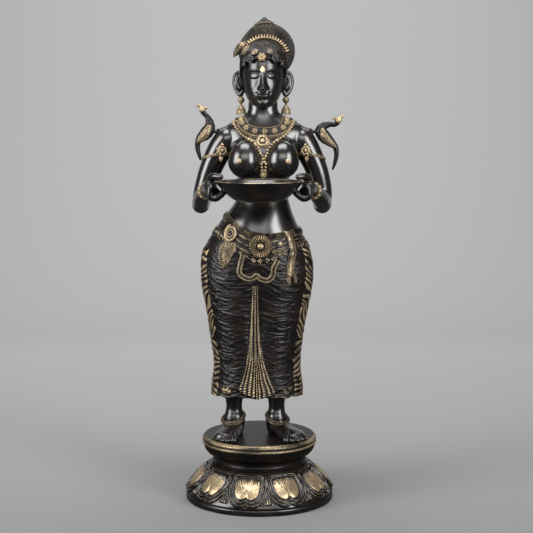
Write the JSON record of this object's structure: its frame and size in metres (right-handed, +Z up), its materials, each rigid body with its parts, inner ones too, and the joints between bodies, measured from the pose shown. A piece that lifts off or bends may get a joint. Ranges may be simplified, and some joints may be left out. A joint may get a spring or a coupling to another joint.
{
  "type": "standing oil lamp figure",
  "caption": "Standing lamp bearer cast in dark brass on a lotus pedestal, holding out a shallow oil bowl, with a bird on each shoulder.",
  "frame": {"origin": "on the floor, at the middle of the pedestal's foot ring", "axes": "+Z up along the figure; -Y is the front, where the bowl is held out; +X is the viewer's right"},
  "size_m": [0.306, 0.381, 0.9401],
  "materials": {
    "dark_brass": "cast brass under a glossy near-black patina",
    "gilt_brass": "raised ornament rubbed back to antique brass",
    "steel_fastener": "plain steel fasteners, hidden"
  },
  "bodies": {
    "figure": {"lotus_base": "dark_brass", "lotus_petals": "dark_brass", "plinth": "dark_brass", "plinth_rim": "gilt_brass", "plinth_bolts": "steel_fastener", "foot_studs": "steel_fastener", "foot_washers": "steel_fastener", "foot_nuts": "steel_fastener", "foot_left": "dark_brass", "foot_right": "dark_brass", "anklet_left": "gilt_brass", "anklet_right": "gilt_brass", "skirt": "dark_brass", "waistband": "gilt_brass", "hip_belt": "gilt_brass", "belt_medallion": "gilt_brass", "hip_rosette": "gilt_brass", "leaf_drape": "gilt_brass", "ribbon_drape": "gilt_brass", "sash_loop": "gilt_brass", "front_pleats": "gilt_brass", "border_left": "gilt_brass", "border_right": "gilt_brass", "torso": "dark_brass", "collar_necklace": "gilt_brass", "pendant": "gilt_brass", "long_chain": "gilt_brass", "chain_drop": "gilt_brass", "chest_studs": "gilt_brass", "upper_arm_left": "dark_brass", "upper_arm_right": "dark_brass", "forearm_left": "dark_brass", "forearm_right": "dark_brass", "hand_left": "dark_brass", "hand_right": "dark_brass", "armlet_left": "gilt_brass", "armlet_right": "gilt_brass", "bracelet_left": "gilt_brass", "bracelet_right": "gilt_brass", "head": "dark_brass", "hair": "dark_brass", "hair_bun": "dark_brass", "bun_finial": "gilt_brass", "tiara": "gilt_brass", "forehead_flower": "gilt_brass", "forehead_drop": "gilt_brass", "hair_ornament": "gilt_brass", "earring_left": "gilt_brass", "earring_right": "gilt_brass", "bird_seat_left": "dark_brass", "bird_seat_right": "dark_brass", "bird_stud_left": "steel_fastener", "bird_stud_right": "steel_fastener"},
    "bird_left": {"bird_left": "dark_brass", "bird_wings_left": "gilt_brass"},
    "bird_right": {"bird_right": "dark_brass", "bird_wings_right": "gilt_brass"},
    "bowl": {"lamp_bowl": "dark_brass"}
  },
  "joints": [
    {"name": "bowl_slide", "type": "slide", "parent": "figure", "child": "bowl", "axis": [0, -1, 0], "range_m": [0, 0.18]},
    {"name": "bird_left_turn", "type": "hinge", "parent": "figure", "child": "bird_left", "pos_m": [-0.085, 0, 0.722], "axis": [-1, 0, 0], "range_deg": [-20, 20]},
    {"name": "bird_right_turn", "type": "hinge", "parent": "figure", "child": "bird_right", "pos_m": [0.105, 0, 0.722], "axis": [1, 0, 0], "range_deg": [-20, 20]}
  ]
}
